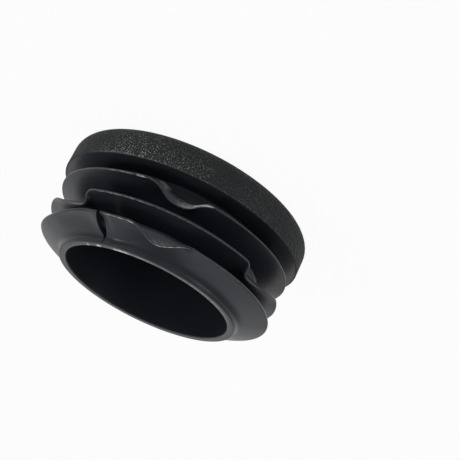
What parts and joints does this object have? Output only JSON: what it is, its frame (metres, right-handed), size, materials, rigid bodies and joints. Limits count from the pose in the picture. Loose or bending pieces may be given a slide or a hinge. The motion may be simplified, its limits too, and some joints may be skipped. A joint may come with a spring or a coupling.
{
  "type": "frame hole cap",
  "caption": "Ribbed push-in plastic cap for a round hole in a frame member, with a round-edged head, a hollow barrel and thin gripping fins that are buckled and split in places.",
  "frame": {"origin": "centre of the head's flat outer face, on which the cap stands", "axes": "+Z along the barrel's axis towards its open end; -Y towards the side with the buckled fins"},
  "size_m": [0.05, 0.05, 0.0221],
  "materials": {
    "plastic": "satin, with a fine moulded grain on the head"
  },
  "bodies": {
    "root": {"frame_hole_cap": "plastic"}
  },
  "joints": []
}
